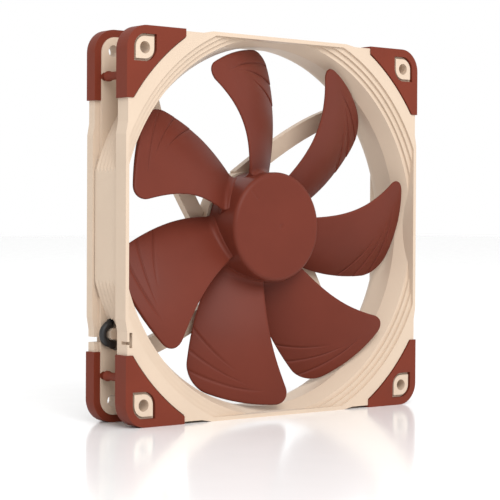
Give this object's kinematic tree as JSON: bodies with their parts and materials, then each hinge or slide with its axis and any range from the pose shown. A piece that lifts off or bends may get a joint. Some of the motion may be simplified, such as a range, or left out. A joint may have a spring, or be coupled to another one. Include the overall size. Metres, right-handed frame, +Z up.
{
  "type": "case fan",
  "caption": "Square axial cooling fan for a computer case, with a swept impeller on a brushless motor, rubber corner pads and a sleeved cable.",
  "frame": {"origin": "on the shaft axis at half the depth, which is the middle of the fan's box", "axes": "X across the intake face, +Y from intake to outlet along the shaft, +Z up; the fan stands on its lower pads at z = -0.070"},
  "size_m": [0.14, 0.0572, 0.14],
  "materials": {
    "frame_plastic": "satin moulded",
    "impeller_plastic": "satin moulded",
    "pad_silicone": "soft matte",
    "steel": "plain",
    "magnet": "bonded ferrite",
    "brass": "machined",
    "sintered_bronze": "sintered",
    "black_rubber": "matte",
    "white_nylon": "moulded",
    "copper": "enamelled wire",
    "board": "solder mask",
    "black_plastic": "moulded",
    "ceramic": "fired",
    "solder": "bright",
    "label": "blank",
    "cable_sleeve": "soft sleeve"
  },
  "bodies": {
    "housing": {"frame": "frame_plastic", "front_pad_top_left": "pad_silicone", "front_pad_top_right": "pad_silicone", "front_pad_bottom_left": "pad_silicone", "front_pad_bottom_right": "pad_silicone", "rear_pad_top_left": "pad_silicone", "rear_pad_top_right": "pad_silicone", "rear_pad_bottom_left": "pad_silicone", "rear_pad_bottom_right": "pad_silicone", "bearing_shell": "brass", "bearing_bush": "sintered_bronze", "oil_seal_ring": "black_rubber", "thrust_pad": "white_nylon", "stator_core": "steel", "front_insulator": "white_nylon", "rear_insulator": "white_nylon", "stator_windings": "copper", "circuit_board": "board", "driver_chip": "black_plastic", "hall_sensor": "black_plastic", "capacitors": "ceramic", "solder_joints": "solder", "rear_label": "label", "lead_in_frame": "cable_sleeve", "cable": "cable_sleeve", "cable_hank": "cable_sleeve", "cable_tie": "black_rubber", "connector_housing": "black_plastic", "connector_contacts": "brass"},
    "rotor": {"impeller": "impeller_plastic", "rotor_yoke": "steel", "rotor_magnet": "magnet", "shaft": "steel", "shaft_boss": "brass", "shaft_clip": "steel"}
  },
  "joints": [
    {"name": "impeller_spin", "type": "hinge", "parent": "housing", "child": "rotor", "pos_m": [0, 0, 0], "axis": [0, -1, 0], "continuous": true}
  ]
}
